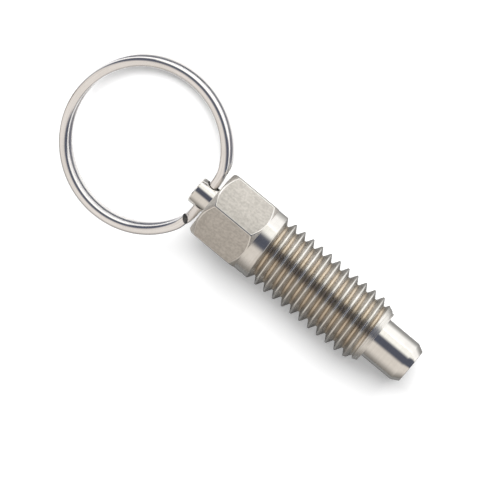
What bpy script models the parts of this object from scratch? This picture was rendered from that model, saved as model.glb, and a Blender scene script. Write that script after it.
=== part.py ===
# Index plunger: a threaded barrel with a hexagon head, a sprung locking pin and a pull ring.
# It lies on one flat of the hexagon, as it would come to rest on a table.
# X runs along the pin, from the ring at -X to the tip at +X, and +Z is up.
# The origin is the middle of the flat that it lies on. All lengths are in metres.

import math

import bmesh
import bpy
from mathutils import Matrix, Vector

# Barrel: plain behind the thread, threaded up to its chamfered front end.
BARREL_DIAMETER = 0.00796
BARREL_LENGTH = 0.0169
BARREL_WALL = 0.00073
END_CHAMFER_LENGTH = 0.0017
END_CHAMFER_DEPTH = 0.00073
REAR_WALL = 0.0022

# Hexagon head: a spanner turns it, and its rear face stops the ring.
HEX_FLAT_STEP = 0.00002
HEX_LENGTH = 0.0064
HEX_REAR_CHAMFER = 0.0002

# Right-hand thread, whose groove fades in behind the first full turn.
THREAD_PITCH = 0.00125
THREAD_DEPTH = 0.00070
THREAD_CREST_WIDTH = 0.00016
THREAD_FLANK_DEGREES = 30.0
THREAD_START = 0.0010
THREAD_START_DEGREES = 113.0
THREAD_FADE_DEGREES = 210.0

# Locking pin: a thick nose guided by the barrel, and a thin rod out to the ring.
PIN_REACH = 0.0050
PIN_GUIDED_LENGTH = 0.0070
PIN_TIP_CHAMFER_LENGTH = 0.00085
PIN_TIP_CHAMFER_DEPTH = 0.00045
ROD_SHARE_OF_PIN = 0.63
ROD_REACH = 0.0023
ROD_END_CHAMFER = 0.00015

# The pin is left turned a little in the barrel, so the ring lies lower on its +Y side.
PIN_TURN_DEGREES = -14.0

# Clearances: sliding fits, and faces that press together on the real part.
RUNNING_CLEARANCE = 0.00005
SEAT_GAP = 0.0003
FLOOR_GAP = 0.00001

# Pull ring: flat wire, wound in nearly two turns, that crosses over in the rod's hole.
# The lower turn lies a little to +Y of the ring's middle, and the upper one to -Y.
RING_OUTER_DIAMETER = 0.0198
RING_WIRE_WIDTH = 0.0011
RING_WIRE_THICKNESS = 0.0008
RING_WIRE_EDGE = 0.00025
RING_TURN_GAP = 0.00005
RING_TURN_OFFSET = 0.00016
RING_FIRST_END_DEGREES = 20.5
RING_LAST_END_DEGREES = 23.0
RING_CROSSING_DEGREES = 40.0
RING_CROSSING_INSET = 0.00055
RING_HOLE_CLEARANCE = 0.00025
RING_HEAD_CLEARANCE = 0.00036

# Compression spring: closed end coils, pressed between the barrel's rear wall and the pin.
SPRING_WIRE_SHARE_OF_ROOM = 0.615
SPRING_ACTIVE_COILS = 11
SPRING_END_COILS = 1
SPRING_COIL_GAP = 0.00005

# Cutters run on by this much past what they cut.
OVERRUN = 0.0010

# Points closer than this are one point.
SAME_POINT = 0.0000002

# Facets round each kind of piece.
THREAD_SEGMENTS = 36
ROUND_SEGMENTS = 48
HOLE_SEGMENTS = 24
RING_STEP_DEGREES = 6.0
SPRING_SEGMENTS = 14
SPRING_WIRE_SIDES = 6

# Turn that puts the head's corners on the middle of a facet of what cuts them.
HALF_STEP = math.pi / ROUND_SEGMENTS

# Radii that neighbours share, worked out from the barrel's size.
BARREL_RADIUS = BARREL_DIAMETER / 2
BORE_RADIUS = BARREL_RADIUS - THREAD_DEPTH - BARREL_WALL
PIN_RADIUS = BORE_RADIUS - RUNNING_CLEARANCE
ROD_RADIUS = PIN_RADIUS * ROD_SHARE_OF_PIN
ROD_HOLE_RADIUS = ROD_RADIUS + RUNNING_CLEARANCE
SPRING_WIRE_DIAMETER = (BORE_RADIUS - ROD_RADIUS) * SPRING_WIRE_SHARE_OF_ROOM
AXIS_HEIGHT = BARREL_RADIUS + HEX_FLAT_STEP
HEX_CORNER_RADIUS = AXIS_HEIGHT / math.cos(math.radians(30.0))

# Radii and heights of the ring. It swings about the middle of its straight crossing.
RING_OUTER_RADIUS = RING_OUTER_DIAMETER / 2
RING_WIRE_RADIUS = RING_OUTER_RADIUS - RING_WIRE_WIDTH / 2
RING_PIVOT_RADIUS = RING_WIRE_RADIUS - RING_CROSSING_INSET
RING_HOLE_RADIUS = RING_WIRE_WIDTH / 2 + RING_HOLE_CLEARANCE
RING_LEVEL = (RING_WIRE_THICKNESS + RING_TURN_GAP) / 2
RING_HALF_HEIGHT = RING_LEVEL + RING_WIRE_THICKNESS / 2

# Places along the pin's axis.
HEX_REAR = -HEX_LENGTH / 2
HEX_FRONT = HEX_LENGTH / 2
BARREL_FRONT = HEX_FRONT + BARREL_LENGTH
BORE_REAR = HEX_REAR + REAR_WALL
PIN_TIP = BARREL_FRONT + PIN_REACH
PIN_SHOULDER = BARREL_FRONT - PIN_GUIDED_LENGTH
ROD_END = HEX_REAR - ROD_REACH
RING_HOLE_PLACE = HEX_REAR - RING_WIRE_WIDTH / 2 - RING_HEAD_CLEARANCE
PIN_TURN = math.radians(PIN_TURN_DEGREES)


def clear_scene():
    for old in list(bpy.data.objects):
        bpy.data.objects.remove(old, do_unlink=True)


def make_steel(name, colour, roughness):
    steel = bpy.data.materials.new(name)
    steel.use_nodes = True
    shader = steel.node_tree.nodes["Principled BSDF"]
    shader.inputs["Base Color"].default_value = (*colour, 1.0)
    shader.inputs["Metallic"].default_value = 1.0
    shader.inputs["Roughness"].default_value = roughness
    return steel


def add_object(name, form, parent=None, steel=None):
    """Turn a bmesh into a smooth-shaded object with its creases kept sharp."""
    bmesh.ops.recalc_face_normals(form, faces=form.faces)
    mesh = bpy.data.meshes.new(name)
    form.to_mesh(mesh)
    form.free()
    mesh.shade_smooth()
    mesh.set_sharp_from_angle(angle=math.radians(25.0))
    thing = bpy.data.objects.new(name, mesh)
    bpy.context.collection.objects.link(thing)
    thing.parent = parent
    if steel is not None:
        mesh.materials.append(steel)
    return thing


def add_cutter(name, form, parent):
    cutter = add_object(name, form, parent)
    cutter.hide_render = True
    cutter.display_type = "WIRE"
    return cutter


def combine(thing, other, operation):
    step = thing.modifiers.new(other.name, "BOOLEAN")
    step.operation = operation
    step.object = other
    step.solver = "EXACT"


def ring_of_points(form, place, radius, segments, turn=0.0):
    """Add points round the X axis at one place, starting from +Y and going towards +Z."""
    points = []
    for index in range(segments):
        angle = turn + math.tau * index / segments
        points.append(form.verts.new((place, radius * math.cos(angle), radius * math.sin(angle))))
    return points


def join_rows(form, first, second, closed=True):
    count = len(first)
    last = count if closed else count - 1
    for index in range(last):
        after = (index + 1) % count
        form.faces.new((first[index], first[after], second[after], second[index]))


def turned(profile, segments, turn=0.0):
    """Turn a profile of (place, radius) points, rear to front, into one closed solid."""
    form = bmesh.new()
    rows = [ring_of_points(form, place, radius, segments, turn) for place, radius in profile]
    for row, next_row in zip(rows, rows[1:]):
        join_rows(form, row, next_row)
    form.faces.new(reversed(rows[0]))
    form.faces.new(rows[-1])
    return form


def swept(rows):
    """Join rows of points, each a section's outline, into one closed wire."""
    form = bmesh.new()
    outlines = [[form.verts.new(point) for point in row] for row in rows]
    for outline, next_outline in zip(outlines, outlines[1:]):
        join_rows(form, outline, next_outline)
    form.faces.new(reversed(outlines[0]))
    form.faces.new(outlines[-1])
    return form


def groove_depth(turned_degrees):
    """Depth of the thread's groove, which eases in from nothing where it begins."""
    share = min(turned_degrees / THREAD_FADE_DEGREES, 1.0)
    return THREAD_DEPTH * share * share * (3.0 - 2.0 * share)


def groove_points(form, step):
    """Add the groove's four edge points at one step along its helix."""
    turned_degrees = step * 360.0 / THREAD_SEGMENTS
    angle = math.radians(THREAD_START_DEGREES + turned_degrees)
    middle = HEX_FRONT + THREAD_START + THREAD_PITCH * step / THREAD_SEGMENTS
    slope = math.tan(math.radians(THREAD_FLANK_DEGREES))
    root_width = THREAD_PITCH - THREAD_CREST_WIDTH - 2 * THREAD_DEPTH * slope
    depth = groove_depth(turned_degrees)
    half_root = root_width / 2
    half_top = half_root + depth * slope
    floor_radius = BARREL_RADIUS - depth
    outline = [
        (middle - half_top, BARREL_RADIUS),
        (middle - half_root, floor_radius),
        (middle + half_root, floor_radius),
        (middle + half_top, BARREL_RADIUS),
    ]
    return [
        form.verts.new((place, radius * math.cos(angle), radius * math.sin(angle)))
        for place, radius in outline
    ]


def close_thread_end(form, circle, edge, seam_in_first, seam_in_last):
    """Fill between an end circle and one turn of helix edge, with the seam's points in one face."""
    last = len(circle) - 1
    for index in range(last + 1):
        corner = [circle[index], circle[(index + 1) % len(circle)]]
        if index == last:
            corner += seam_in_last
        corner += [edge[index + 1], edge[index]]
        if index == 0:
            corner += seam_in_first
        form.faces.new(corner)


def threaded_bar():
    """A bar with the thread's groove round it, longer than the barrel at both ends."""
    form = bmesh.new()
    around = THREAD_SEGMENTS
    run = BARREL_LENGTH - THREAD_START + THREAD_PITCH
    steps = math.ceil(run / THREAD_PITCH * around)
    rows = [groove_points(form, step) for step in range(steps + 1)]
    for row, next_row in zip(rows, rows[1:]):
        join_rows(form, row, next_row, closed=False)
    for step in range(steps - around):
        after = step + around
        form.faces.new((rows[step][3], rows[step + 1][3], rows[after + 1][0], rows[after][0]))
    form.faces.new(rows[-1])

    start_turn = math.radians(THREAD_START_DEGREES)
    rear = ring_of_points(form, HEX_REAR + REAR_WALL, BARREL_RADIUS, around, start_turn)
    close_thread_end(form, rear, [row[0] for row in rows[: around + 1]], [], rows[0])
    form.faces.new(reversed(rear))

    end_turn = start_turn + math.tau * steps / around
    front = ring_of_points(form, BARREL_FRONT + 3 * THREAD_PITCH, BARREL_RADIUS, around, end_turn)
    front_edge = [row[3] for row in rows[steps - around:]]
    close_thread_end(form, front, front_edge, [rows[-1][0], rows[-1][3]], [])
    form.faces.new(front)
    bmesh.ops.remove_doubles(form, verts=form.verts, dist=SAME_POINT)
    return form


def hex_head():
    """The head as a plain hexagon bar with one flat underneath."""
    profile = [(HEX_REAR, HEX_CORNER_RADIUS), (HEX_FRONT, HEX_CORNER_RADIUS)]
    return turned(profile, 6)


def hex_envelope():
    """The turned shape that cuts the head's corners back at both ends."""
    wide = HEX_CORNER_RADIUS + OVERRUN
    rear_radius = AXIS_HEIGHT - HEX_REAR_CHAMFER
    front_radius = BARREL_RADIUS - THREAD_DEPTH
    profile = [
        (HEX_REAR - (rear_radius - BORE_RADIUS), BORE_RADIUS),
        (HEX_REAR + wide - rear_radius, wide),
        (HEX_FRONT + BARREL_RADIUS - wide, wide),
        (HEX_FRONT + BARREL_RADIUS - front_radius, front_radius),
    ]
    return turned(profile, ROUND_SEGMENTS, HALF_STEP)


def barrel_envelope():
    """The turned shape that gives the barrel its front face and chamfer."""
    wide = HEX_CORNER_RADIUS + OVERRUN
    end_radius = BARREL_RADIUS - END_CHAMFER_DEPTH
    slope = END_CHAMFER_DEPTH / END_CHAMFER_LENGTH
    profile = [
        (HEX_REAR - OVERRUN, wide),
        (BARREL_FRONT - (wide - end_radius) / slope, wide),
        (BARREL_FRONT, end_radius),
    ]
    return turned(profile, ROUND_SEGMENTS, HALF_STEP)


def bore():
    """The pin's bore from the front, and the rod's hole through the rear wall."""
    profile = [
        (HEX_REAR - OVERRUN, ROD_HOLE_RADIUS),
        (BORE_REAR, ROD_HOLE_RADIUS),
        (BORE_REAR, BORE_RADIUS),
        (BARREL_FRONT + OVERRUN, BORE_RADIUS),
    ]
    return turned(profile, ROUND_SEGMENTS)


def build_threaded_body(axis, steel):
    head = add_cutter("hex_head_form", hex_head(), axis)
    combine(head, add_cutter("hex_envelope", hex_envelope(), axis), "INTERSECT")
    body = add_object("threaded_body", threaded_bar(), axis, steel)
    combine(body, head, "UNION")
    combine(body, add_cutter("barrel_envelope", barrel_envelope(), axis), "INTERSECT")
    combine(body, add_cutter("bore_cutter", bore(), axis), "DIFFERENCE")


def build_locking_pin(axis, steel):
    profile = [
        (ROD_END, ROD_RADIUS - ROD_END_CHAMFER),
        (ROD_END + ROD_END_CHAMFER, ROD_RADIUS),
        (PIN_SHOULDER, ROD_RADIUS),
        (PIN_SHOULDER, PIN_RADIUS),
        (PIN_TIP - PIN_TIP_CHAMFER_LENGTH, PIN_RADIUS),
        (PIN_TIP, PIN_RADIUS - PIN_TIP_CHAMFER_DEPTH),
    ]
    pin = add_object("locking_pin", turned(profile, ROUND_SEGMENTS), axis, steel)
    half_length = ROD_RADIUS + OVERRUN
    drill_profile = [(-half_length, RING_HOLE_RADIUS), (half_length, RING_HOLE_RADIUS)]
    drill = turned(drill_profile, HOLE_SEGMENTS)
    cutter = add_cutter("ring_hole_cutter", drill, axis)
    cutter.location = (RING_HOLE_PLACE, 0.0, 0.0)
    cutter.rotation_euler = (0.0, 0.0, math.radians(90.0))
    combine(pin, cutter, "DIFFERENCE")


def ring_level(turned_degrees):
    """Height of the wire's middle over the ring's mid plane, part way round its winding."""
    crossing_middle = 360.0 + (RING_FIRST_END_DEGREES - RING_LAST_END_DEGREES) / 2
    share = (turned_degrees - crossing_middle) / RING_CROSSING_DEGREES
    return -2 * RING_LEVEL * max(-0.5, min(0.5, share))


def ring_reach(outward, angle):
    """Distance from the ring's middle to a point of the wire, cut short by the straight crossing."""
    round_reach = RING_WIRE_RADIUS + outward
    if math.cos(angle) <= 0.0:
        return round_reach
    return min(round_reach, (RING_PIVOT_RADIUS + outward) / math.cos(angle))


def ring_section(turned_degrees):
    """The wire's outline at one place, seen from the ring's pivot in the rod's hole."""
    angle = -math.radians(turned_degrees)
    level = ring_level(turned_degrees)
    half_width = RING_WIRE_WIDTH / 2
    half_height = RING_WIRE_THICKNESS / 2
    side = half_height - RING_WIRE_EDGE
    face = half_width - RING_WIRE_EDGE
    outline = [
        (half_width, -side), (half_width, side), (face, half_height), (-face, half_height),
        (-half_width, side), (-half_width, -side), (-face, -half_height), (face, -half_height),
    ]
    points = []
    for outward, upward in outline:
        radius = ring_reach(outward, angle)
        points.append(Vector((
            radius * math.cos(angle) - RING_PIVOT_RADIUS,
            radius * math.sin(angle) - RING_TURN_OFFSET * level / RING_LEVEL,
            level + upward,
        )))
    return points


def ring_drop(droop):
    """How far the ring's lowest point lies under the pin's axis, at one angle of droop."""
    upright = math.cos(droop) * math.cos(PIN_TURN)
    lean = math.sqrt(1.0 - upright * upright)
    middle = RING_PIVOT_RADIUS * math.sin(droop) * math.cos(PIN_TURN)
    middle -= RING_TURN_OFFSET * math.sin(PIN_TURN)
    outer_edge = RING_OUTER_RADIUS * lean + (RING_HALF_HEIGHT - RING_WIRE_EDGE) * upright
    lower_edge = (RING_OUTER_RADIUS - RING_WIRE_EDGE) * lean + RING_HALF_HEIGHT * upright
    return middle + max(outer_edge, lower_edge)


def ring_droop():
    """Angle at which the ring's lowest point comes down onto the floor, found by halving."""
    low = 0.0
    high = math.radians(90.0)
    for _ in range(40):
        middle = (low + high) / 2
        if ring_drop(middle) < AXIS_HEIGHT - FLOOR_GAP:
            low = middle
        else:
            high = middle
    return low


def build_split_ring(axis, steel):
    last = 720.0 - RING_LAST_END_DEGREES
    steps = round((last - RING_FIRST_END_DEGREES) / RING_STEP_DEGREES)
    stride = (last - RING_FIRST_END_DEGREES) / steps
    rows = [ring_section(RING_FIRST_END_DEGREES + stride * step) for step in range(steps + 1)]
    ring = add_object("split_ring", swept(rows), axis, steel)
    ring.location = (RING_HOLE_PLACE, 0.0, 0.0)
    ring.rotation_euler = (0.0, -ring_droop(), 0.0)


def spring_advance(coils, pitch):
    """Distance along the spring after some coils, with closed coils at both ends."""
    closed_pitch = SPRING_WIRE_DIAMETER + SPRING_COIL_GAP
    first = min(coils, SPRING_END_COILS)
    active = min(max(coils - SPRING_END_COILS, 0.0), SPRING_ACTIVE_COILS)
    last = max(coils - SPRING_END_COILS - SPRING_ACTIVE_COILS, 0.0)
    return (first + last) * closed_pitch + active * pitch


def build_compression_spring(axis, steel):
    wire_radius = SPRING_WIRE_DIAMETER / 2
    rear = BORE_REAR + SEAT_GAP + wire_radius
    front = PIN_SHOULDER - SEAT_GAP - wire_radius
    coil_radius = (ROD_RADIUS + BORE_RADIUS) / 2
    closed_length = 2 * SPRING_END_COILS * (SPRING_WIRE_DIAMETER + SPRING_COIL_GAP)
    pitch = (front - rear - closed_length) / SPRING_ACTIVE_COILS
    coils = SPRING_ACTIVE_COILS + 2 * SPRING_END_COILS
    rows = []
    for step in range(coils * SPRING_SEGMENTS + 1):
        along = step / SPRING_SEGMENTS
        turn = Matrix.Rotation(math.tau * along, 3, "X")
        place = Vector((rear + spring_advance(along, pitch), 0.0, 0.0))
        row = []
        for side in range(SPRING_WIRE_SIDES):
            angle = math.tau * side / SPRING_WIRE_SIDES
            outward = coil_radius + wire_radius * math.cos(angle)
            offset = Vector((wire_radius * math.sin(angle), outward, 0.0))
            row.append(place + turn @ offset)
        rows.append(row)
    add_object("compression_spring", swept(rows), axis, steel)


def add_axis(name):
    """An empty that the pieces turned about one axis are parented to."""
    axis = bpy.data.objects.new(name, None)
    bpy.context.collection.objects.link(axis)
    return axis


def build_plunger():
    clear_scene()
    axis = add_axis("barrel_axis")
    axis.location = (0.0, 0.0, AXIS_HEIGHT)
    turned_axis = add_axis("pin_axis")
    turned_axis.parent = axis
    turned_axis.rotation_euler = (PIN_TURN, 0.0, 0.0)
    turned_steel = make_steel("turned_stainless_steel", (0.62, 0.59, 0.55), 0.32)
    polished_steel = make_steel("polished_stainless_steel", (0.66, 0.64, 0.61), 0.15)
    ring_steel = make_steel("bright_ring_wire", (0.62, 0.60, 0.57), 0.2)
    spring_steel = make_steel("spring_wire", (0.5, 0.48, 0.46), 0.3)
    build_threaded_body(axis, turned_steel)
    build_locking_pin(turned_axis, polished_steel)
    build_split_ring(turned_axis, ring_steel)
    build_compression_spring(turned_axis, spring_steel)


build_plunger()
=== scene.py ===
import math

import bmesh
import bpy
from mathutils import Matrix, Vector


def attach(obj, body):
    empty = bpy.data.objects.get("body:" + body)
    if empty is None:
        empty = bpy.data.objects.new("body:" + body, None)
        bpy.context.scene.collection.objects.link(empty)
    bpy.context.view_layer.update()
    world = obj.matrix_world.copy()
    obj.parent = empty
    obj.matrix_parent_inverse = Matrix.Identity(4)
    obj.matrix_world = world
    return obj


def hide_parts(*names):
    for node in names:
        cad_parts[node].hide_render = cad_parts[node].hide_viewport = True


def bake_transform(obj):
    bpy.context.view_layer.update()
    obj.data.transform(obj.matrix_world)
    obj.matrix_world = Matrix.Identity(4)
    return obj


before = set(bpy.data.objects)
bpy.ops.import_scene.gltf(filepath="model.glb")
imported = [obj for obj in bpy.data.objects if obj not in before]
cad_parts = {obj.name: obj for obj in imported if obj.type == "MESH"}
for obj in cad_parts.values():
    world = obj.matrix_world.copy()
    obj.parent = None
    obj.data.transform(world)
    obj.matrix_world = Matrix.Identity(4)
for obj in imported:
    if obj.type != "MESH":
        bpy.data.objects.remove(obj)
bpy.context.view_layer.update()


# The view: the plunger lies on one flat of its hexagon, and a long lens looks down on it
# from the +Y side. The lens is rolled so that the pin points to the lower right.
MILLIMETRE = 0.001
VIEW_TARGET = Vector((1.850, -0.966, 4.858)) * MILLIMETRE
VIEW_DISTANCE = 400 * MILLIMETRE
VIEW_HEIGHT_DEGREES = 58.0
VIEW_TOWARDS_PIN_DEGREES = 2.0
VIEW_ROLL_DEGREES = 39.65
PICTURE_WIDTH = 480
PIXELS_PER_MILLIMETRE = 9.115

view_height = math.radians(VIEW_HEIGHT_DEGREES)
view_lean = math.radians(VIEW_TOWARDS_PIN_DEGREES)
view_roll = math.radians(VIEW_ROLL_DEGREES)
to_camera = Vector((
    math.sin(view_lean),
    math.cos(view_height) * math.cos(view_lean),
    math.sin(view_height) * math.cos(view_lean),
))
along_pin = (Vector((1, 0, 0)) - to_camera * to_camera.x).normalized()
across_pin = along_pin.cross(to_camera)
picture_right = along_pin * math.cos(view_roll) - across_pin * math.sin(view_roll)
picture_down = along_pin * math.sin(view_roll) + across_pin * math.cos(view_roll)
lens = bpy.data.cameras.new("long_lens")
lens.sensor_width = 36.0
lens.lens = PIXELS_PER_MILLIMETRE * VIEW_DISTANCE / MILLIMETRE * lens.sensor_width / PICTURE_WIDTH
lens.clip_start = 0.01
lens.clip_end = 20.0
camera = bpy.data.objects.new("camera", lens)
camera.matrix_world = Matrix((
    (picture_right.x, -picture_down.x, to_camera.x, 0),
    (picture_right.y, -picture_down.y, to_camera.y, 0),
    (picture_right.z, -picture_down.z, to_camera.z, 0),
    (0, 0, 0, 1),
))
camera.location = VIEW_TARGET + to_camera * VIEW_DISTANCE
bpy.context.collection.objects.link(camera)
bpy.context.scene.camera = camera


# The threaded body is one piece of stainless steel, turned and threaded M8 x 1.25 on a
# hexagon bar of 8 mm. The thread is cut last, and its groove runs out in the plain neck.
AXIS_HEIGHT = 4.0 * MILLIMETRE
BARREL_RADIUS = 3.98 * MILLIMETRE
BARREL_FRONT = 20.1 * MILLIMETRE
BORE_RADIUS = 2.55 * MILLIMETRE
BORE_REAR = -1.0 * MILLIMETRE
ROD_HOLE_RADIUS = 1.625 * MILLIMETRE
THREAD_PITCH = 1.25 * MILLIMETRE
THREAD_DEPTH = 0.77 * MILLIMETRE
GROOVE_ROOT_HALF_WIDTH = 0.10 * MILLIMETRE
FLANK_SLOPE = math.tan(math.radians(30.0))
FIRST_GROOVE = 4.2 * MILLIMETRE
FIRST_GROOVE_ANGLE = math.radians(113.0)
GROOVE_FADE_TURNS = 210 / 360
THREAD_SHELL_REAR = 3.0 * MILLIMETRE
THREAD_SHELL_TURNS = 16
THREAD_POINTS_A_PITCH = 24
THREAD_POINTS_AROUND = 96
END_FACE_RADIUS = 3.20 * MILLIMETRE
END_SLOPE = 0.78 / 1.7
HEX_REAR = -3.2 * MILLIMETRE
HEX_FRONT = 3.2 * MILLIMETRE
HEX_FLAT_DISTANCE = 4.0 * MILLIMETRE
HEX_HALF_ANGLE = math.radians(30.0)
HEX_CORNER_ROUNDING = 0.24 * MILLIMETRE
HEX_CORNER_STEPS = (-0.5, 0.0, 0.5)
HEX_EDGE_SHARE = 0.97
HEX_REAR_FACE_RADIUS = 3.8 * MILLIMETRE
HEX_EDGE_BREAK = 0.08 * MILLIMETRE
HEX_OVERLAP = 0.25 * MILLIMETRE
HEX_BORE_STEP = 0.01 * MILLIMETRE
EDGE_BREAK = 0.035 * MILLIMETRE
TOOL_MARK_DEPTH = 0.02 * MILLIMETRE
WELD_DISTANCE = 0.001 * MILLIMETRE
TONE_LOW = 0.36
TONE_HIGH = 0.64


def start_tree(name, sizes):
    """A geometry tree with named inputs for its sizes, and its two end nodes."""
    tree = bpy.data.node_groups.new(name, "GeometryNodeTree")
    tree.interface.new_socket("Geometry", in_out="INPUT", socket_type="NodeSocketGeometry")
    tree.interface.new_socket("Geometry", in_out="OUTPUT", socket_type="NodeSocketGeometry")
    for label, value in sizes.items():
        kind = "NodeSocketInt" if isinstance(value, int) else "NodeSocketFloat"
        tree.interface.new_socket(label, in_out="INPUT", socket_type=kind)
    return tree, tree.nodes.new("NodeGroupInput"), tree.nodes.new("NodeGroupOutput")


def feed(tree, socket, value):
    """Join a socket to another socket, or give it a plain value."""
    if isinstance(value, bpy.types.NodeSocket):
        tree.links.new(value, socket)
    else:
        socket.default_value = value


def reckon(tree, operation, *values):
    """One step of arithmetic in a tree."""
    node = tree.nodes.new("ShaderNodeMath")
    node.operation = operation
    for socket, value in zip(node.inputs, values):
        feed(tree, socket, value)
    return node.outputs[0]


def eased(tree, value, low, high, start, end):
    """Go from start to end, gently at both, as a value goes from low to high."""
    node = tree.nodes.new("ShaderNodeMapRange")
    node.interpolation_type = "SMOOTHSTEP"
    for socket, given in zip(node.inputs, (value, low, high, start, end)):
        feed(tree, socket, given)
    return node.outputs[0]


def joined_point(tree, x, y, z):
    """A point made of its three coordinates."""
    node = tree.nodes.new("ShaderNodeCombineXYZ")
    for socket, value in zip(node.inputs, (x, y, z)):
        feed(tree, socket, value)
    return node.outputs[0]


def coordinates(tree, point):
    """A point's three coordinates, as sockets named X, Y and Z."""
    node = tree.nodes.new("ShaderNodeSeparateXYZ")
    tree.links.new(point, node.inputs[0])
    return node.outputs


def point_round_axis(tree, x, radius, angle, axis_height):
    """A point beside the plunger's axis, at a radius from it and an angle round it."""
    y = reckon(tree, "MULTIPLY", radius, reckon(tree, "COSINE", angle))
    rise = reckon(tree, "MULTIPLY", radius, reckon(tree, "SINE", angle))
    return joined_point(tree, x, y, reckon(tree, "ADD", axis_height, rise))


def end_tree(tree, last, outlet, material):
    """Shade smooth, make real geometry, give it its material and end the tree."""
    smooth = tree.nodes.new("GeometryNodeSetShadeSmooth")
    real = tree.nodes.new("GeometryNodeRealizeInstances")
    finish = tree.nodes.new("GeometryNodeSetMaterial")
    finish.inputs["Material"].default_value = material
    tree.links.new(last, smooth.inputs["Geometry"])
    tree.links.new(smooth.outputs["Geometry"], real.inputs["Geometry"])
    tree.links.new(real.outputs["Geometry"], finish.inputs["Geometry"])
    tree.links.new(finish.outputs["Geometry"], outlet.inputs["Geometry"])


def grown(name, tree, sizes):
    """Run a tree once with its sizes, and keep what it makes as a plain mesh."""
    thing = bpy.data.objects.new(name, bpy.data.meshes.new(name))
    bpy.context.collection.objects.link(thing)
    step = thing.modifiers.new(name, "NODES")
    step.node_group = tree
    for socket in tree.interface.items_tree:
        if socket.in_out == "INPUT" and socket.name in sizes:
            step[socket.identifier] = sizes[socket.name]
    made = bpy.data.meshes.new_from_object(
        thing.evaluated_get(bpy.context.evaluated_depsgraph_get())
    )
    thing.modifiers.remove(step)
    finish = made.materials[-1]
    made.materials.clear()
    made.materials.append(finish)
    made.polygons.foreach_set("material_index", [0] * len(made.polygons))
    thing.data = made
    return thing


def mixed_colour(tree, share, first, second, blend="MIX"):
    """The first colour changed by the second, by a share from 0 to 1."""
    node = tree.nodes.new("ShaderNodeMix")
    node.data_type = "RGBA"
    node.blend_type = blend
    sockets = [socket for socket in node.inputs if socket.type == "RGBA"]
    feed(tree, node.inputs["Factor"], share)
    feed(tree, sockets[0], first)
    feed(tree, sockets[1], second)
    return next(socket for socket in node.outputs if socket.type == "RGBA")


def worked_steel_group():
    """How cut and drawn steel varies: soft blotches of tone, and fine lines left by the tool."""
    group = bpy.data.node_groups.new("worked_steel", "ShaderNodeTree")
    for label, kind in (
        ("Place", "NodeSocketVector"), ("Line place", "NodeSocketVector"),
        ("Bright", "NodeSocketColor"), ("Dull", "NodeSocketColor"),
        ("Blotch scale", "NodeSocketFloat"), ("Least roughness", "NodeSocketFloat"),
        ("Most roughness", "NodeSocketFloat"), ("Line share", "NodeSocketFloat"),
    ):
        group.interface.new_socket(label, in_out="INPUT", socket_type=kind)
    for label, kind in (
        ("Colour", "NodeSocketColor"), ("Roughness", "NodeSocketFloat"), ("Height", "NodeSocketFloat"),
    ):
        group.interface.new_socket(label, in_out="OUTPUT", socket_type=kind)
    given = group.nodes.new("NodeGroupInput").outputs
    outlet = group.nodes.new("NodeGroupOutput")
    blotch = group.nodes.new("ShaderNodeTexNoise")
    blotch.inputs["Detail"].default_value = 5.0
    blotch.inputs["Roughness"].default_value = 0.6
    group.links.new(given["Place"], blotch.inputs["Vector"])
    group.links.new(given["Blotch scale"], blotch.inputs["Scale"])
    line = group.nodes.new("ShaderNodeTexNoise")
    line.inputs["Scale"].default_value = 1.0
    line.inputs["Detail"].default_value = 3.0
    group.links.new(given["Line place"], line.inputs["Vector"])
    blotch_share = reckon(group, "SUBTRACT", 1.0, given["Line share"])
    both = reckon(
        group, "ADD",
        reckon(group, "MULTIPLY", blotch.outputs["Fac"], blotch_share),
        reckon(group, "MULTIPLY", line.outputs["Fac"], given["Line share"]),
    )
    bright_share = eased(group, both, TONE_LOW, TONE_HIGH, 0.0, 1.0)
    tone = mixed_colour(group, bright_share, given["Dull"], given["Bright"])
    group.links.new(tone, outlet.inputs["Colour"])
    span = reckon(group, "SUBTRACT", given["Least roughness"], given["Most roughness"])
    roughness = reckon(group, "ADD", given["Most roughness"], reckon(group, "MULTIPLY", span, bright_share))
    group.links.new(roughness, outlet.inputs["Roughness"])
    group.links.new(both, outlet.inputs["Height"])
    return group


worked_steel = worked_steel_group()


def steel(name, bright, dull, roughness, blotch_scale, line_scale, line_share, relief, turned=True):
    """One steel finish. Turning leaves lines round the X axis; anything else follows its UV map."""
    material = bpy.data.materials.new(name)
    material.use_nodes = True
    tree = material.node_tree
    shader = tree.nodes["Principled BSDF"]
    shader.inputs["Metallic"].default_value = 1.0
    place = tree.nodes.new("ShaderNodeTexCoord")
    stretch = tree.nodes.new("ShaderNodeMapping")
    stretch.inputs["Scale"].default_value = line_scale
    tree.links.new(place.outputs["Object" if turned else "UV"], stretch.inputs["Vector"])
    look = tree.nodes.new("ShaderNodeGroup")
    look.node_tree = worked_steel
    look.inputs["Bright"].default_value = (*bright, 1.0)
    look.inputs["Dull"].default_value = (*dull, 1.0)
    look.inputs["Blotch scale"].default_value = blotch_scale
    look.inputs["Least roughness"].default_value = roughness[0]
    look.inputs["Most roughness"].default_value = roughness[1]
    look.inputs["Line share"].default_value = line_share
    tree.links.new(place.outputs["Object"], look.inputs["Place"])
    tree.links.new(stretch.outputs["Vector"], look.inputs["Line place"])
    tree.links.new(look.outputs["Colour"], shader.inputs["Base Color"])
    tree.links.new(look.outputs["Roughness"], shader.inputs["Roughness"])
    marks = tree.nodes.new("ShaderNodeBump")
    marks.inputs["Strength"].default_value = relief
    marks.inputs["Distance"].default_value = TOOL_MARK_DEPTH
    tree.links.new(look.outputs["Height"], marks.inputs["Height"])
    tree.links.new(marks.outputs["Normal"], shader.inputs["Normal"])
    return material


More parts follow.
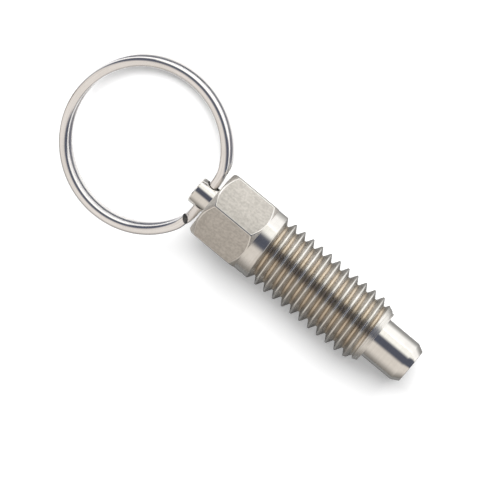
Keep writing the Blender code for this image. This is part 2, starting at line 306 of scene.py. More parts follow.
thread_steel = steel(
    "threaded_steel", bright=(0.84, 0.82, 0.785), dull=(0.75, 0.725, 0.68), roughness=(0.23, 0.33),
    blotch_scale=900.0, line_scale=(9000.0, 60.0, 60.0), line_share=0.5, relief=0.25,
)
# Painted shade: the thread is tinted darker and browner towards the root of its groove, for the shade and
# warm bounced light inside it.
GROOVE_SHADE_START = 4.1 * MILLIMETRE
GROOVE_SHADE_END = 19.3 * MILLIMETRE
GROOVE_SHADE_EDGE = 0.3 * MILLIMETRE
CREST_START = 3.88 * MILLIMETRE
CREST_TOP = 3.96 * MILLIMETRE
CREST_POLISH = 0.6
ROOT_SHADE_TINT = (0.80, 0.705, 0.59)
FLANK_FOOT_SHADE_TINT = (0.81, 0.795, 0.78)
FLANK_TOP_SHADE_TINT = (0.82, 0.81, 0.80)
CREST_TINT = (1.0, 1.0, 1.0)
GROOVE_SHADE_TINTS = [
    (3.17 * MILLIMETRE, ROOT_SHADE_TINT),
    (3.22 * MILLIMETRE, ROOT_SHADE_TINT),
    (3.29 * MILLIMETRE, FLANK_FOOT_SHADE_TINT),
    (CREST_START, FLANK_TOP_SHADE_TINT),
    (CREST_TOP, CREST_TINT),
]


def paint_groove_shade(material):
    """Paint shade into the thread by its distance from the axis: brown roots and grey flanks stand for the
    groove's shade and its warm bounced light; the crests are polished.
    """
    tree = material.node_tree
    shader = tree.nodes["Principled BSDF"]
    worked = shader.inputs["Base Color"].links[0].from_socket
    drawn = shader.inputs["Roughness"].links[0].from_socket
    here = coordinates(tree, tree.nodes.new("ShaderNodeTexCoord").outputs["Object"])
    height = reckon(tree, "SUBTRACT", here["Z"], AXIS_HEIGHT)
    reach = tree.nodes.new("ShaderNodeVectorMath")
    reach.operation = "LENGTH"
    tree.links.new(joined_point(tree, 0.0, here["Y"], height), reach.inputs[0])
    polish = eased(tree, reach.outputs["Value"], CREST_START, CREST_TOP, 1.0, CREST_POLISH)
    tree.links.new(reckon(tree, "MULTIPLY", drawn, polish), shader.inputs["Roughness"])
    ramp = tree.nodes.new("ShaderNodeValToRGB")
    first = GROOVE_SHADE_TINTS[0][0]
    last = GROOVE_SHADE_TINTS[-1][0]
    share = eased(tree, reach.outputs["Value"], first, last, 0.0, 1.0)
    share.node.interpolation_type = "LINEAR"
    tree.links.new(share, ramp.inputs["Fac"])
    stops = ramp.color_ramp.elements
    for index, (radius, tint) in enumerate(GROOVE_SHADE_TINTS):
        place = (radius - first) / (last - first)
        stop = stops[index] if index < 2 else stops.new(place)
        stop.position = place
        stop.color = (*tint, 1.0)
    rear = eased(tree, here["X"], GROOVE_SHADE_START, GROOVE_SHADE_START + GROOVE_SHADE_EDGE, 0.0, 1.0)
    front = eased(tree, here["X"], GROOVE_SHADE_END - GROOVE_SHADE_EDGE, GROOVE_SHADE_END, 1.0, 0.0)
    threaded = reckon(tree, "MULTIPLY", rear, front)
    groove_shaded = mixed_colour(tree, threaded, worked, ramp.outputs["Color"], blend="MULTIPLY")
    tree.links.new(groove_shaded, shader.inputs["Base Color"])


paint_groove_shade(thread_steel)
flat_steel = steel(
    "hexagon_bar_steel", bright=(0.70, 0.665, 0.615), dull=(0.585, 0.555, 0.51), roughness=(0.48, 0.58),
    blotch_scale=3400.0, line_scale=(700.0, 5200.0, 5200.0), line_share=0.3, relief=0.5,
)


def thread_tree(sizes):
    """The thread: a sheared grid wrapped round the barrel, one row of it for each helix line."""
    tree, inlet, outlet = start_tree("screw_thread", sizes)
    size = inlet.outputs
    grid = tree.nodes.new("GeometryNodeMeshGrid")
    rows = reckon(tree, "ADD", reckon(tree, "MULTIPLY", size["Turns"], size["Points a pitch"]), 1)
    tree.links.new(rows, grid.inputs["Vertices X"])
    tree.links.new(reckon(tree, "ADD", size["Points around"], 1), grid.inputs["Vertices Y"])
    grid.inputs["Size X"].default_value = 1.0
    grid.inputs["Size Y"].default_value = 1.0
    here = coordinates(tree, tree.nodes.new("GeometryNodeInputPosition").outputs[0])
    along = reckon(tree, "MULTIPLY", reckon(tree, "ADD", here["X"], 0.5), size["Turns"])
    around = reckon(tree, "ADD", here["Y"], 0.5)
    before = reckon(tree, "SUBTRACT", size["Rear end"], size["Pitch"])
    first = reckon(tree, "DIVIDE", reckon(tree, "SUBTRACT", before, size["First groove"]), size["Pitch"])
    helix = reckon(tree, "ADD", first, along)
    groove = reckon(tree, "ROUND", helix)
    turned = reckon(tree, "ADD", groove, around)
    depth = eased(tree, turned, 0.0, size["Fade turns"], 0.0, size["Groove depth"])
    off_groove = reckon(tree, "ABSOLUTE", reckon(tree, "SUBTRACT", helix, groove))
    off_middle = reckon(tree, "MULTIPLY", off_groove, size["Pitch"])
    past_root = reckon(tree, "MAXIMUM", 0.0, reckon(tree, "SUBTRACT", off_middle, size["Root half width"]))
    flank_rise = reckon(tree, "DIVIDE", past_root, size["Flank slope"])
    cut = reckon(tree, "MAXIMUM", 0.0, reckon(tree, "SUBTRACT", depth, flank_rise))
    advance = reckon(tree, "MULTIPLY", size["Pitch"], reckon(tree, "ADD", along, around))
    free_x = reckon(tree, "ADD", before, advance)
    x = reckon(tree, "MINIMUM", size["Front end"], reckon(tree, "MAXIMUM", size["Rear end"], free_x))
    off_end = reckon(tree, "SUBTRACT", size["Front end"], x)
    cone = reckon(tree, "ADD", size["End face radius"], reckon(tree, "MULTIPLY", off_end, size["End slope"]))
    radius = reckon(tree, "MINIMUM", cone, reckon(tree, "SUBTRACT", size["Radius"], cut))
    angle = reckon(tree, "ADD", size["First angle"], reckon(tree, "MULTIPLY", around, math.tau))
    wrap = tree.nodes.new("GeometryNodeSetPosition")
    tree.links.new(grid.outputs["Mesh"], wrap.inputs["Geometry"])
    tree.links.new(point_round_axis(tree, x, radius, angle, size["Axis height"]), wrap.inputs["Position"])
    weld = tree.nodes.new("GeometryNodeMergeByDistance")
    weld.inputs["Distance"].default_value = WELD_DISTANCE
    tree.links.new(wrap.outputs["Geometry"], weld.inputs["Geometry"])
    end_tree(tree, weld.outputs["Geometry"], outlet, thread_steel)
    return tree


thread_sizes = {
    "Radius": BARREL_RADIUS, "Pitch": THREAD_PITCH, "Groove depth": THREAD_DEPTH,
    "Root half width": GROOVE_ROOT_HALF_WIDTH, "Flank slope": FLANK_SLOPE,
    "First groove": FIRST_GROOVE, "First angle": FIRST_GROOVE_ANGLE, "Fade turns": GROOVE_FADE_TURNS,
    "Rear end": THREAD_SHELL_REAR, "Front end": BARREL_FRONT, "End face radius": END_FACE_RADIUS,
    "End slope": END_SLOPE, "Axis height": AXIS_HEIGHT, "Turns": THREAD_SHELL_TURNS,
    "Points a pitch": THREAD_POINTS_A_PITCH, "Points around": THREAD_POINTS_AROUND,
}
body = grown("threaded_body_finish", thread_tree(thread_sizes), thread_sizes)


def turned_point(x, radius, angle):
    """A point at a radius from the plunger's axis and an angle round it."""
    return Vector((x, radius * math.cos(angle), AXIS_HEIGHT + radius * math.sin(angle)))


def close_barrel(form):
    """Carry the thread's two open ends inwards, and join them by the bore."""
    ends = {"rear": [], "front": []}
    for edge in form.edges:
        if edge.is_boundary:
            rear = edge.verts[0].co.x < (THREAD_SHELL_REAR + BARREL_FRONT) / 2
            ends["rear" if rear else "front"].append(edge)
    paths = {
        "rear": [(THREAD_SHELL_REAR, BORE_RADIUS)],
        "front": [
            (BARREL_FRONT, BORE_RADIUS + 2 * EDGE_BREAK),
            (BARREL_FRONT - 2 * EDGE_BREAK, BORE_RADIUS),
        ],
    }
    bore_edges = []
    for end, edges in ends.items():
        for x, radius in paths[end]:
            made = bmesh.ops.extrude_edge_only(form, edges=edges)["geom"]
            edges = [item for item in made if isinstance(item, bmesh.types.BMEdge) and item.is_boundary]
            for vert in {vert for edge in edges for vert in edge.verts}:
                angle = math.atan2(vert.co.z - AXIS_HEIGHT, vert.co.y)
                vert.co = turned_point(x, radius, angle)
        bore_edges += edges
    bmesh.ops.bridge_loops(form, edges=bore_edges)


def hexagon_outline():
    """Points round the hexagon's section, with its corners rounded a little."""
    straight = HEX_FLAT_DISTANCE - HEX_CORNER_ROUNDING
    half_side = straight * math.tan(HEX_HALF_ANGLE)
    corner_reach = straight / math.cos(HEX_HALF_ANGLE)
    shares = [-1, -HEX_EDGE_SHARE] + [step / 10 for step in range(-9, 10)] + [HEX_EDGE_SHARE, 1]
    points = []
    for side in range(6):
        normal = HEX_HALF_ANGLE * (2 * side + 1)
        out = Vector((math.cos(normal), math.sin(normal)))
        across = Vector((-out.y, out.x))
        points += [out * HEX_FLAT_DISTANCE + across * half_side * share for share in shares]
        corner = normal + HEX_HALF_ANGLE
        for step in HEX_CORNER_STEPS:
            angle = corner + HEX_HALF_ANGLE * step
            points.append(Vector((
                corner_reach * math.cos(corner) + HEX_CORNER_ROUNDING * math.cos(angle),
                corner_reach * math.sin(corner) + HEX_CORNER_ROUNDING * math.sin(angle),
            )))
    return points


def add_hexagon(form):
    """The hexagon in bands, from the rod's hole out over the flats and back in through the bore."""
    rear_chamfer, flat, front_chamfer = 2, 4, 6
    inner = BORE_RADIUS + HEX_BORE_STEP
    sections = []
    for point in hexagon_outline():
        reach = point.length
        angle = math.atan2(point.y, point.x)
        inside = reach - HEX_EDGE_BREAK
        section = [
            (HEX_REAR, ROD_HOLE_RADIUS + 2 * EDGE_BREAK),
            (HEX_REAR, HEX_REAR_FACE_RADIUS - EDGE_BREAK),
            (HEX_REAR + EDGE_BREAK / 2, HEX_REAR_FACE_RADIUS + EDGE_BREAK / 2),
            (HEX_REAR + inside - HEX_REAR_FACE_RADIUS, inside),
            (HEX_REAR + reach - HEX_REAR_FACE_RADIUS + HEX_EDGE_BREAK, reach),
            (HEX_FRONT + BARREL_RADIUS - reach - HEX_EDGE_BREAK, reach),
            (HEX_FRONT + BARREL_RADIUS - inside, inside),
            (HEX_FRONT + HEX_OVERLAP, BARREL_RADIUS - HEX_OVERLAP),
            (HEX_FRONT + HEX_OVERLAP, inner),
            (BORE_REAR, inner),
            (BORE_REAR, ROD_HOLE_RADIUS),
            (HEX_REAR + 2 * EDGE_BREAK, ROD_HOLE_RADIUS),
        ]
        sections.append([form.verts.new(turned_point(x, radius, angle)) for x, radius in section])
    side_points = len(sections) // 6
    flat_faces = side_points - len(HEX_CORNER_STEPS) - 1
    for band in range(len(sections[0])):
        for step, here in enumerate(sections):
            following = sections[(step + 1) % len(sections)]
            after = (band + 1) % len(here)
            made = form.faces.new((here[band], following[band], following[after], here[after]))
            on_flat = band == flat and step % side_points < flat_faces
            made.material_index = 1 if on_flat or band in (rear_chamfer, front_chamfer) else 0


form = bmesh.new()
form.from_mesh(body.data)
close_barrel(form)
add_hexagon(form)
bmesh.ops.recalc_face_normals(form, faces=form.faces)
form.to_mesh(body.data)
form.free()
body.data.materials.append(flat_steel)
body.data.shade_smooth()
body.data.set_sharp_from_angle(angle=math.radians(32))
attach(body, "barrel")
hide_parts("threaded_body")


# The locking pin is turned, ground and polished in one piece with the thin rod behind it.
# A hole drilled across the rod's end holds the pull ring.
PIN_TURN = math.radians(-14.0)
PIN_RADIUS = 2.5 * MILLIMETRE
PIN_TIP = 25.1 * MILLIMETRE
PIN_SHOULDER = 13.1 * MILLIMETRE
PIN_SIDES = 128
TIP_CHAMFER_LENGTH = 0.85 * MILLIMETRE
TIP_CHAMFER_DEPTH = 0.45 * MILLIMETRE
ROD_RADIUS = 1.575 * MILLIMETRE
ROD_END = -5.5 * MILLIMETRE
ROD_END_CHAMFER = 0.15 * MILLIMETRE
RING_HOLE_PLACE = -4.11 * MILLIMETRE
RING_HOLE_RADIUS = 0.8 * MILLIMETRE
DRILL_SIDES = 48
DRILL_HALF_LENGTH = ROD_RADIUS + 1.0 * MILLIMETRE

pin_steel = steel(
    "polished_pin_steel", bright=(0.87, 0.85, 0.81), dull=(0.81, 0.785, 0.745), roughness=(0.07, 0.13),
    blotch_scale=500.0, line_scale=(7000.0, 40.0, 40.0), line_share=0.5, relief=0.08,
)


def turned_form(profile, sides):
    """A closed turned solid from (place, radius) points; a first or last radius of zero is a pole."""
    form = bmesh.new()
    rows = []
    for x, radius in profile:
        angles = [math.tau * step / sides for step in range(sides)] if radius else [0.0]
        rows.append([form.verts.new(turned_point(x, radius, angle)) for angle in angles])
    for row, after in zip(rows, rows[1:]):
        for step in range(sides):
            following = (step + 1) % sides
            corners = [row[step % len(row)], row[following % len(row)]]
            corners += [after[following % len(after)], after[step % len(after)]]
            form.faces.new(list(dict.fromkeys(corners)))
    bmesh.ops.recalc_face_normals(form, faces=form.faces)
    return form


def thing_from(name, form, material):
    """A named object that takes over a form as its mesh."""
    mesh = bpy.data.meshes.new(name)
    form.to_mesh(mesh)
    form.free()
    mesh.materials.append(material)
    thing = bpy.data.objects.new(name, mesh)
    bpy.context.collection.objects.link(thing)
    return thing


pin_profile = [
    (ROD_END, 0),
    (ROD_END, ROD_RADIUS - ROD_END_CHAMFER - EDGE_BREAK),
    (ROD_END + EDGE_BREAK / 3, ROD_RADIUS - ROD_END_CHAMFER),
    (ROD_END + ROD_END_CHAMFER, ROD_RADIUS - EDGE_BREAK / 3),
    (ROD_END + ROD_END_CHAMFER + EDGE_BREAK, ROD_RADIUS),
    (PIN_SHOULDER, ROD_RADIUS),
    (PIN_SHOULDER, PIN_RADIUS - 2 * EDGE_BREAK),
    (PIN_SHOULDER + 2 * EDGE_BREAK, PIN_RADIUS),
    (PIN_TIP - TIP_CHAMFER_LENGTH - EDGE_BREAK, PIN_RADIUS),
    (PIN_TIP - TIP_CHAMFER_LENGTH + EDGE_BREAK, PIN_RADIUS - EDGE_BREAK / 2),
    (PIN_TIP - EDGE_BREAK, PIN_RADIUS - TIP_CHAMFER_DEPTH + EDGE_BREAK / 2),
    (PIN_TIP, PIN_RADIUS - TIP_CHAMFER_DEPTH - EDGE_BREAK),
    (PIN_TIP, 0),
]
pin = thing_from("locking_pin_finish", turned_form(pin_profile, PIN_SIDES), pin_steel)
drill_profile = [
    (-DRILL_HALF_LENGTH, 0), (-DRILL_HALF_LENGTH, RING_HOLE_RADIUS),
    (DRILL_HALF_LENGTH, RING_HOLE_RADIUS), (DRILL_HALF_LENGTH, 0),
]
drill = thing_from("ring_hole_drill", turned_form(drill_profile, DRILL_SIDES), pin_steel)
on_axis = Matrix.Translation((0, 0, AXIS_HEIGHT))
pin_turn = on_axis @ Matrix.Rotation(PIN_TURN, 4, "X") @ on_axis.inverted()
to_ring_hole = pin_turn @ Matrix.Translation((RING_HOLE_PLACE, 0, AXIS_HEIGHT))
drill.data.transform(to_ring_hole @ Matrix.Rotation(math.radians(90), 4, "Z") @ on_axis.inverted())
cut = pin.modifiers.new("ring_hole", "BOOLEAN")
cut.operation = "DIFFERENCE"
cut.object = drill
cut.solver = "EXACT"
pin.data = bpy.data.meshes.new_from_object(pin.evaluated_get(bpy.context.evaluated_depsgraph_get()))
pin.modifiers.remove(cut)
bpy.data.objects.remove(drill)
pin.data.shade_smooth()
pin.data.set_sharp_from_angle(angle=math.radians(20))
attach(pin, "pin")
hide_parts("locking_pin")


# The compression spring is coiled from drawn stainless wire, with closed end coils. It sits
# round the rod in the bore, and shortens as the ring pulls the pin back.
SPRING_REAR = -0.36 * MILLIMETRE
SPRING_FRONT = 12.46 * MILLIMETRE
SPRING_WIRE_RADIUS = 0.3 * MILLIMETRE
SPRING_COIL_RADIUS = 2.0625 * MILLIMETRE
SPRING_CLOSED_PITCH = 0.65 * MILLIMETRE
SPRING_ACTIVE_COILS = 11
SPRING_POINTS_A_COIL = 32
SPRING_WIRE_SIDES = 12

spring_steel = steel(
    "spring_wire_steel", bright=(0.58, 0.56, 0.53), dull=(0.48, 0.46, 0.43), roughness=(0.22, 0.34),
    blotch_scale=1200.0, line_scale=(2500.0, 900.0, 900.0), line_share=0.5, relief=0.2,
)


def wound_path(tree, line, place):
    """A path through the points of a line, each moved to its own place."""
    wind = tree.nodes.new("GeometryNodeSetPosition")
    tree.links.new(line, wind.inputs["Geometry"])
    tree.links.new(place, wind.inputs["Position"])
    path = tree.nodes.new("GeometryNodeMeshToCurve")
    tree.links.new(wind.outputs["Geometry"], path.inputs["Mesh"])
    return path.outputs["Curve"]


def wire_along(tree, path, section):
    """A wire of one section along a path, closed at both ends."""
    wire = tree.nodes.new("GeometryNodeCurveToMesh")
    wire.inputs["Fill Caps"].default_value = True
    tree.links.new(path, wire.inputs["Curve"])
    tree.links.new(section, wire.inputs["Profile Curve"])
    return wire.outputs["Mesh"]


def spring_tree(sizes):
    """A wire wound on a line of points, whose pitch is closed at both ends."""
    tree, inlet, outlet = start_tree("wound_spring", sizes)
    size = inlet.outputs
    coils = reckon(tree, "ADD", size["Active coils"], 2)
    line = tree.nodes.new("GeometryNodeMeshLine")
    last = reckon(tree, "MULTIPLY", coils, size["Points a coil"])
    tree.links.new(reckon(tree, "ADD", last, 1), line.inputs["Count"])
    number = tree.nodes.new("GeometryNodeInputIndex").outputs[0]
    turns = reckon(tree, "DIVIDE", number, size["Points a coil"])
    after_first = reckon(tree, "MAXIMUM", 0.0, reckon(tree, "SUBTRACT", turns, 1.0))
    active = reckon(tree, "MINIMUM", size["Active coils"], after_first)
    closed = reckon(tree, "SUBTRACT", turns, active)
    length = reckon(tree, "SUBTRACT", size["Front"], size["Rear"])
    room = reckon(tree, "SUBTRACT", length, reckon(tree, "MULTIPLY", size["Closed pitch"], 2.0))
    pitch = reckon(tree, "DIVIDE", room, size["Active coils"])
    closed_length = reckon(tree, "MULTIPLY", closed, size["Closed pitch"])
    wound_length = reckon(tree, "ADD", closed_length, reckon(tree, "MULTIPLY", active, pitch))
    x = reckon(tree, "ADD", size["Rear"], wound_length)
    angle = reckon(tree, "ADD", size["Turn"], reckon(tree, "MULTIPLY", turns, math.tau))
    place = point_round_axis(tree, x, size["Coil radius"], angle, size["Axis height"])
    section = tree.nodes.new("GeometryNodeCurvePrimitiveCircle")
    section.inputs["Resolution"].default_value = SPRING_WIRE_SIDES
    tree.links.new(size["Wire radius"], section.inputs["Radius"])
    path = wound_path(tree, line.outputs["Mesh"], place)
    end_tree(tree, wire_along(tree, path, section.outputs["Curve"]), outlet, spring_steel)
    return tree


spring_sizes = {
    "Rear": SPRING_REAR, "Front": SPRING_FRONT, "Wire radius": SPRING_WIRE_RADIUS,
    "Coil radius": SPRING_COIL_RADIUS, "Closed pitch": SPRING_CLOSED_PITCH,
    "Axis height": AXIS_HEIGHT, "Turn": PIN_TURN,
    "Active coils": SPRING_ACTIVE_COILS, "Points a coil": SPRING_POINTS_A_COIL,
}
spring = grown("compression_spring_finish", spring_tree(spring_sizes), spring_sizes)
spring.data.set_sharp_from_angle(angle=math.radians(50))
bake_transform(spring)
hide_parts("compression_spring")


# The pull ring is flattened stainless wire, wound in nearly two turns and sprung open to
# thread it through the rod. Its wire crosses over, nearly straight, inside the rod's hole.
RING_DROOP = math.radians(4.682)
RING_WIRE_HALF_WIDTH = 0.55 * MILLIMETRE
RING_WIRE_HALF_THICKNESS = 0.4 * MILLIMETRE
RING_WIRE_SIDES = 32
RING_SQUARENESS = 0.55
RING_CROWN_HEIGHT = 0.15 * MILLIMETRE
RING_WIRE_RADIUS = 9.35 * MILLIMETRE
RING_PIVOT_RADIUS = 8.8 * MILLIMETRE
RING_BEND_LENGTH = 0.5 * MILLIMETRE
LEAST_FORWARD_SHARE = 0.05
RING_LEVEL = 0.425 * MILLIMETRE
RING_TURN_OFFSET = 0.16 * MILLIMETRE
RING_POINTS = 340
TWO_TURNS_DEGREES = 720.0
RING_FIRST_END_DEGREES = 17.5
RING_LAST_END_DEGREES = 15.5
RING_CROSSING_MIDDLE_DEGREES = 358.75
RING_CROSSING_DEGREES = 40.0
END_SHEAR_LENGTH = 2.6 * MILLIMETRE
END_SHEAR_SLANT = 0.65
UPPER_END_RISE = 0.5
LOWER_END_RISE = 1.3
DULLING_START_SHARE = 0.49
DULLING_END_SHARE = 0.55
LOWER_TURN_DULLING = 0.16

ring_steel = steel(
    "ring_wire_steel", bright=(0.97, 0.955, 0.95), dull=(0.89, 0.87, 0.855), roughness=(0.10, 0.17),
    blotch_scale=300.0, line_scale=(14.0, 3.0, 1.0), line_share=0.6, relief=0.12, turned=False,
)


def dull_lower_turn(material):
    """Hands polish the upper turn, so the wire is a little duller in its second half."""
    tree = material.node_tree
    shader = tree.nodes["Principled BSDF"]
    drawn = shader.inputs["Roughness"].links[0].from_socket
    unrolled = coordinates(tree, tree.nodes.new("ShaderNodeTexCoord").outputs["UV"])
    added = eased(tree, unrolled["X"], DULLING_START_SHARE, DULLING_END_SHARE, 0.0, LOWER_TURN_DULLING)
    tree.links.new(reckon(tree, "ADD", drawn, added), shader.inputs["Roughness"])


dull_lower_turn(ring_steel)


def kept_with(tree, geometry, value):
    """Keep a value with each point of a geometry, to be read once the wire is drawn."""
    node = tree.nodes.new("GeometryNodeCaptureAttribute")
    node.capture_items.new("FLOAT", "Value")
    tree.links.new(geometry, node.inputs["Geometry"])
    tree.links.new(value, node.inputs["Value"])
    return node.outputs["Geometry"], node.outputs["Value"]


def flattened_section(tree, size):
    """The wire's section: a circle pressed nearly square, with a slight crown; and its width."""
    circle = tree.nodes.new("GeometryNodeCurvePrimitiveCircle")
    circle.inputs["Resolution"].default_value = RING_WIRE_SIDES
    circle.inputs["Radius"].default_value = 1.0
    round_place = coordinates(tree, tree.nodes.new("GeometryNodeInputPosition").outputs[0])
    pressed = []
    for axis in ("X", "Y"):
        fullness = reckon(tree, "POWER", reckon(tree, "ABSOLUTE", round_place[axis]), size["Squareness"])
        pressed.append(reckon(tree, "MULTIPLY", fullness, reckon(tree, "SIGN", round_place[axis])))
    across, upward = pressed
    fall = reckon(tree, "MULTIPLY", size["Crown height"], reckon(tree, "MULTIPLY", across, across))
    thickness = reckon(tree, "SUBTRACT", size["Half thickness"], fall)
    place = joined_point(
        tree, reckon(tree, "MULTIPLY", across, size["Half width"]),
        reckon(tree, "MULTIPLY", upward, thickness), 0.0,
    )
    outline, across_kept = kept_with(tree, circle.outputs["Curve"], across)
    section = tree.nodes.new("GeometryNodeSetPosition")
    tree.links.new(outline, section.inputs["Geometry"])
    tree.links.new(place, section.inputs["Position"])
    return section.outputs["Geometry"], across_kept


def ring_tree(sizes):
    """Nearly two turns of wire, with a straight crossing that steps from one level to the other."""
    tree, inlet, outlet = start_tree("wound_ring", sizes)
    size = inlet.outputs
    line = tree.nodes.new("GeometryNodeMeshLine")
    tree.links.new(size["Points"], line.inputs["Count"])
    number = tree.nodes.new("GeometryNodeInputIndex").outputs[0]
    share = reckon(tree, "DIVIDE", number, reckon(tree, "SUBTRACT", size["Points"], 1))
    span = reckon(tree, "SUBTRACT", size["Last degrees"], size["First degrees"])
    degrees = reckon(tree, "ADD", size["First degrees"], reckon(tree, "MULTIPLY", share, span))
    angle = reckon(tree, "RADIANS", degrees)
    forward = reckon(tree, "COSINE", angle)
    least = reckon(tree, "MAXIMUM", forward, LEAST_FORWARD_SHARE)
    straight = reckon(tree, "DIVIDE", size["Pivot radius"], least)
    radius = reckon(tree, "SMOOTH_MIN", size["Radius"], straight, size["Bend length"])
    x = reckon(tree, "SUBTRACT", reckon(tree, "MULTIPLY", radius, forward), size["Pivot radius"])
    half_crossing = reckon(tree, "DIVIDE", size["Crossing degrees"], 2.0)
    start = reckon(tree, "SUBTRACT", size["Crossing middle"], half_crossing)
    finish = reckon(tree, "ADD", start, size["Crossing degrees"])
    lower = reckon(tree, "MULTIPLY", size["Level"], -1.0)
    z = eased(tree, degrees, start, finish, size["Level"], lower)
    upper_side = reckon(tree, "MULTIPLY", size["Turn offset"], -1.0)
    aside = eased(tree, degrees, start, finish, upper_side, size["Turn offset"])
    y = reckon(tree, "SUBTRACT", aside, reckon(tree, "MULTIPLY", radius, reckon(tree, "SINE", angle)))
    numbered, share_kept = kept_with(tree, line.outputs["Mesh"], share)
    upright = tree.nodes.new("GeometryNodeSetCurveNormal")
    upright.mode = "Z_UP"
    tree.links.new(wound_path(tree, numbered, joined_point(tree, x, y, z)), upright.inputs["Curve"])
    section, across_kept = flattened_section(tree, size)
    unroll = tree.nodes.new("GeometryNodeStoreNamedAttribute")
    unroll.data_type = "FLOAT2"
    unroll.domain = "CORNER"
    unroll.inputs["Name"].default_value = "UVMap"
    tree.links.new(wire_along(tree, upright.outputs["Curve"], section), unroll.inputs["Geometry"])
    tree.links.new(joined_point(tree, share_kept, across_kept, 0.0), unroll.inputs["Value"])
    end_tree(tree, unroll.outputs["Geometry"], outlet, ring_steel)
    return tree


ring_sizes = {
    "First degrees": RING_FIRST_END_DEGREES,
    "Last degrees": TWO_TURNS_DEGREES - RING_LAST_END_DEGREES,
    "Crossing middle": RING_CROSSING_MIDDLE_DEGREES, "Crossing degrees": RING_CROSSING_DEGREES,
    "Radius": RING_WIRE_RADIUS, "Pivot radius": RING_PIVOT_RADIUS, "Bend length": RING_BEND_LENGTH,
    "Level": RING_LEVEL, "Turn offset": RING_TURN_OFFSET,
    "Half width": RING_WIRE_HALF_WIDTH, "Half thickness": RING_WIRE_HALF_THICKNESS,
    "Squareness": RING_SQUARENESS, "Crown height": RING_CROWN_HEIGHT, "Points": RING_POINTS,
}
ring = grown("split_ring_finish", ring_tree(ring_sizes), ring_sizes)


def shear_ends(mesh):
    """Slant the wire's two cut ends, which a shear leaves dull, and mark their faces for a finish painted
    dark as shade.
    """
    form = bmesh.new()
    form.from_mesh(mesh)
    middle = Vector((-RING_PIVOT_RADIUS, 0, 0))
    for cap in [face for face in form.faces if len(face.verts) > 4]:
        cap.material_index = 1
        centre = cap.calc_center_median()
        outward = (centre - middle).to_2d().normalized().to_3d()
        slope = UPPER_END_RISE if centre.z > 0 else LOWER_END_RISE
        for vert in form.verts:
            away = vert.co - centre
            if abs(away.z) > RING_LEVEL or away.length > END_SHEAR_LENGTH:
                continue
            share = 1 - away.length / END_SHEAR_LENGTH
            rise = away.z + RING_WIRE_HALF_THICKNESS
            aside = away.dot(outward) + RING_WIRE_HALF_WIDTH
            back = share * (max(0.0, rise) * slope + max(0.0, aside) * END_SHEAR_SLANT)
            turn = math.copysign(back / RING_WIRE_RADIUS, centre.y)
            vert.co = middle + Matrix.Rotation(turn, 3, "Z") @ (vert.co - middle)
    form.to_mesh(mesh)
    form.free()


# Painted shade: the cut faces are coloured dark for the dark they face; their dullness is roughness.
dull_and_shaded_end = steel(
    "dull_and_shaded_end_steel", bright=(0.42, 0.42, 0.43), dull=(0.20, 0.20, 0.21), roughness=(0.45, 0.6),
    blotch_scale=2500.0, line_scale=(900.0, 900.0, 900.0), line_share=0.5, relief=0.6,
)
ring.data.materials.append(dull_and_shaded_end)
shear_ends(ring.data)
ring.data.transform(to_ring_hole @ Matrix.Rotation(-RING_DROOP, 4, "Y"))
ring.data.set_sharp_from_angle(angle=math.radians(50))
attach(ring, "ring")
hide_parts("split_ring")


# The table is a smooth white sheet. It takes the plunger's soft shadow, and the camera sees
# it white where the light falls on it freely. For the steel's reflections it has painted
# shade: dim close by the plunger, and brighter beyond it and behind its ring.
TABLE_HALF_SIZE = 3.0
TABLE_WHITE = (0.90, 0.90, 0.90, 1.0)
TABLE_GLOW = 0.24
TABLE_TURNS_BRIGHT = 8.5 * MILLIMETRE
TABLE_SHADE_CLOSE = 0.22
TABLE_TONE_BEYOND = 0.78
TABLE_TONE_BEHIND = 0.70

table_white = bpy.data.materials.new("table_white")
table_white.use_nodes = True
sheet = table_white.node_tree
sheet.nodes.clear()
matt = sheet.nodes.new("ShaderNodeBsdfDiffuse")
matt.inputs["Color"].default_value = TABLE_WHITE
glow = sheet.nodes.new("ShaderNodeEmission")
glow.inputs["Strength"].default_value = TABLE_GLOW
lit = sheet.nodes.new("ShaderNodeAddShader")
sheet.links.new(matt.outputs[0], lit.inputs[0])
sheet.links.new(glow.outputs[0], lit.inputs[1])
spot = coordinates(sheet, sheet.nodes.new("ShaderNodeTexCoord").outputs["Object"])
# Painted shade for the steel's reflections: the table is darker close by the plunger, where its shadow and
# the dark under it lie.
beyond = eased(
    sheet, spot["Y"], TABLE_TURNS_BRIGHT / 3, TABLE_TURNS_BRIGHT, TABLE_SHADE_CLOSE, TABLE_TONE_BEYOND
)
behind = eased(
    sheet, spot["X"], -TABLE_TURNS_BRIGHT, -TABLE_TURNS_BRIGHT / 3, TABLE_TONE_BEHIND, TABLE_SHADE_CLOSE
)
reflected_table_shade = sheet.nodes.new("ShaderNodeBsdfDiffuse")
sheet.links.new(reckon(sheet, "MAXIMUM", beyond, behind), reflected_table_shade.inputs["Color"])
pick = sheet.nodes.new("ShaderNodeMixShader")
sheet.links.new(sheet.nodes.new("ShaderNodeLightPath").outputs["Is Camera Ray"], pick.inputs["Fac"])
sheet.links.new(reflected_table_shade.outputs[0], pick.inputs[1])
sheet.links.new(lit.outputs[0], pick.inputs[2])
sheet.links.new(pick.outputs[0], sheet.nodes.new("ShaderNodeOutputMaterial").inputs["Surface"])
form = bmesh.new()
corners = [(-1, -1), (1, -1), (1, 1), (-1, 1)]
form.faces.new([form.verts.new((x * TABLE_HALF_SIZE, y * TABLE_HALF_SIZE, 0)) for x, y in corners])
table = thing_from("table", form, table_white)


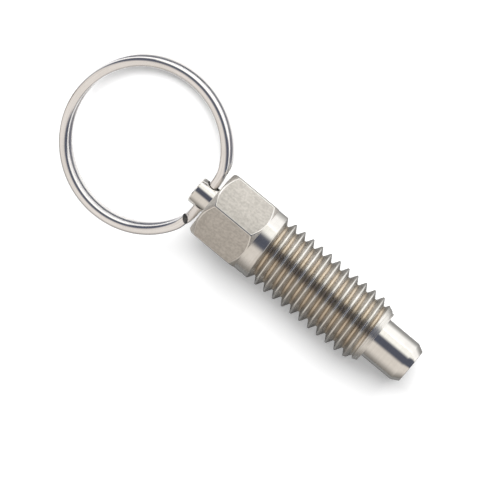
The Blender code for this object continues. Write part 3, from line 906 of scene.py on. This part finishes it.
# The light is a white studio: a bright wall beyond the plunger, a warm ceiling on the near
# side, and between them the dark gap round the lens that bright metal always shows. Only
# the steel's reflections show it. A soft lamp and a weak even light fall on the table.
SKY_BRIGHT = (1.14, 1.14, 1.10, 1.0)
SKY_WARM = (0.79, 0.745, 0.70, 1.0)
SKY_LOW_NEAR = (0.27, 0.255, 0.24, 1.0)
SKY_DARK = (0.098, 0.107, 0.142, 1.0)
SKY_SIDE_FAR = (0.64, 0.54, 0.44, 1.0)
SKY_SIDE_NEAR = (0.22, 0.195, 0.17, 1.0)
SKY_END = (0.66, 0.68, 0.72, 1.0)
WHITE = (1.0, 1.0, 1.0, 1.0)
GAP_START_DEGREES = 32.0
GAP_START_AT_SIDE = 8.0
GAP_END_DEGREES = 78.0
GAP_EDGE_DEGREES = 10.0
NEAR_FADE_START_DEGREES = 118.0
NEAR_FADE_END_DEGREES = 178.0
GAP_WIDENS_FROM = 0.60
GAP_WIDENS_TO = 0.76
SIDE_START = 0.84
SIDE_END = 0.87
END_START = 0.93
END_END = 0.97
AMBIENT_LEVEL = 0.20
LAMP_PLACE = Vector((-0.09, 0.44, 0.34))
LAMP_LENGTH = 0.48
LAMP_WIDTH = 0.38
LAMP_WATTS = 7.8

studio = bpy.data.worlds.new("studio")
studio.use_nodes = True
bpy.context.scene.world = studio
sky = studio.node_tree
sky.nodes.clear()
way = coordinates(sky, sky.nodes.new("ShaderNodeTexCoord").outputs["Generated"])
height = reckon(sky, "DEGREES", reckon(sky, "ARCTAN2", way["Z"], way["Y"]))
along = reckon(sky, "ABSOLUTE", way["X"])
gap_start = eased(sky, along, GAP_WIDENS_FROM, GAP_WIDENS_TO, GAP_START_DEGREES, GAP_START_AT_SIDE)
far = eased(
    sky, height, reckon(sky, "SUBTRACT", gap_start, GAP_EDGE_DEGREES),
    reckon(sky, "ADD", gap_start, GAP_EDGE_DEGREES), 1.0, 0.0,
)
near = eased(sky, height, GAP_END_DEGREES - GAP_EDGE_DEGREES, GAP_END_DEGREES + GAP_EDGE_DEGREES, 0.0, 1.0)
low_near = eased(sky, height, NEAR_FADE_START_DEGREES, NEAR_FADE_END_DEGREES, 0.0, 1.0)
near_colour = mixed_colour(sky, low_near, SKY_WARM, SKY_LOW_NEAR)
colour = mixed_colour(sky, near, SKY_DARK, near_colour)
colour = mixed_colour(sky, far, colour, SKY_BRIGHT)
side = mixed_colour(sky, near, SKY_DARK, SKY_SIDE_NEAR)
side = mixed_colour(sky, far, side, SKY_SIDE_FAR)
colour = mixed_colour(sky, eased(sky, along, SIDE_START, SIDE_END, 0.0, 1.0), colour, side)
colour = mixed_colour(sky, eased(sky, along, END_START, END_END, 0.0, 1.0), colour, SKY_END)
ray = sky.nodes.new("ShaderNodeLightPath")


def backdrop(colour, level):
    """A backdrop of one colour or pattern, at one level of light."""
    node = sky.nodes.new("ShaderNodeBackground")
    feed(sky, node.inputs["Color"], colour)
    node.inputs["Strength"].default_value = level
    return node.outputs[0]


def chosen(ray_kind, otherwise, shown):
    """Show one backdrop to a kind of ray, and the other to the rest."""
    node = sky.nodes.new("ShaderNodeMixShader")
    sky.links.new(ray.outputs[ray_kind], node.inputs["Fac"])
    sky.links.new(otherwise, node.inputs[1])
    sky.links.new(shown, node.inputs[2])
    return node.outputs[0]


reflected = chosen("Is Glossy Ray", backdrop(WHITE, AMBIENT_LEVEL), backdrop(colour, 1.0))
seen = chosen("Is Camera Ray", reflected, backdrop(WHITE, 1.0))
sky.links.new(seen, sky.nodes.new("ShaderNodeOutputWorld").inputs["Surface"])

lamp = bpy.data.lights.new("window_softbox", "AREA")
lamp.shape = "RECTANGLE"
lamp.size = LAMP_LENGTH
lamp.size_y = LAMP_WIDTH
lamp.energy = LAMP_WATTS
softbox = bpy.data.objects.new("window_softbox", lamp)
softbox.location = LAMP_PLACE
softbox.rotation_euler = (LAMP_PLACE - Vector((0, 0, AXIS_HEIGHT))).to_track_quat("Z", "Y").to_euler()
softbox.visible_glossy = False
bpy.context.collection.objects.link(softbox)

bpy.context.scene.view_settings.view_transform = "Standard"
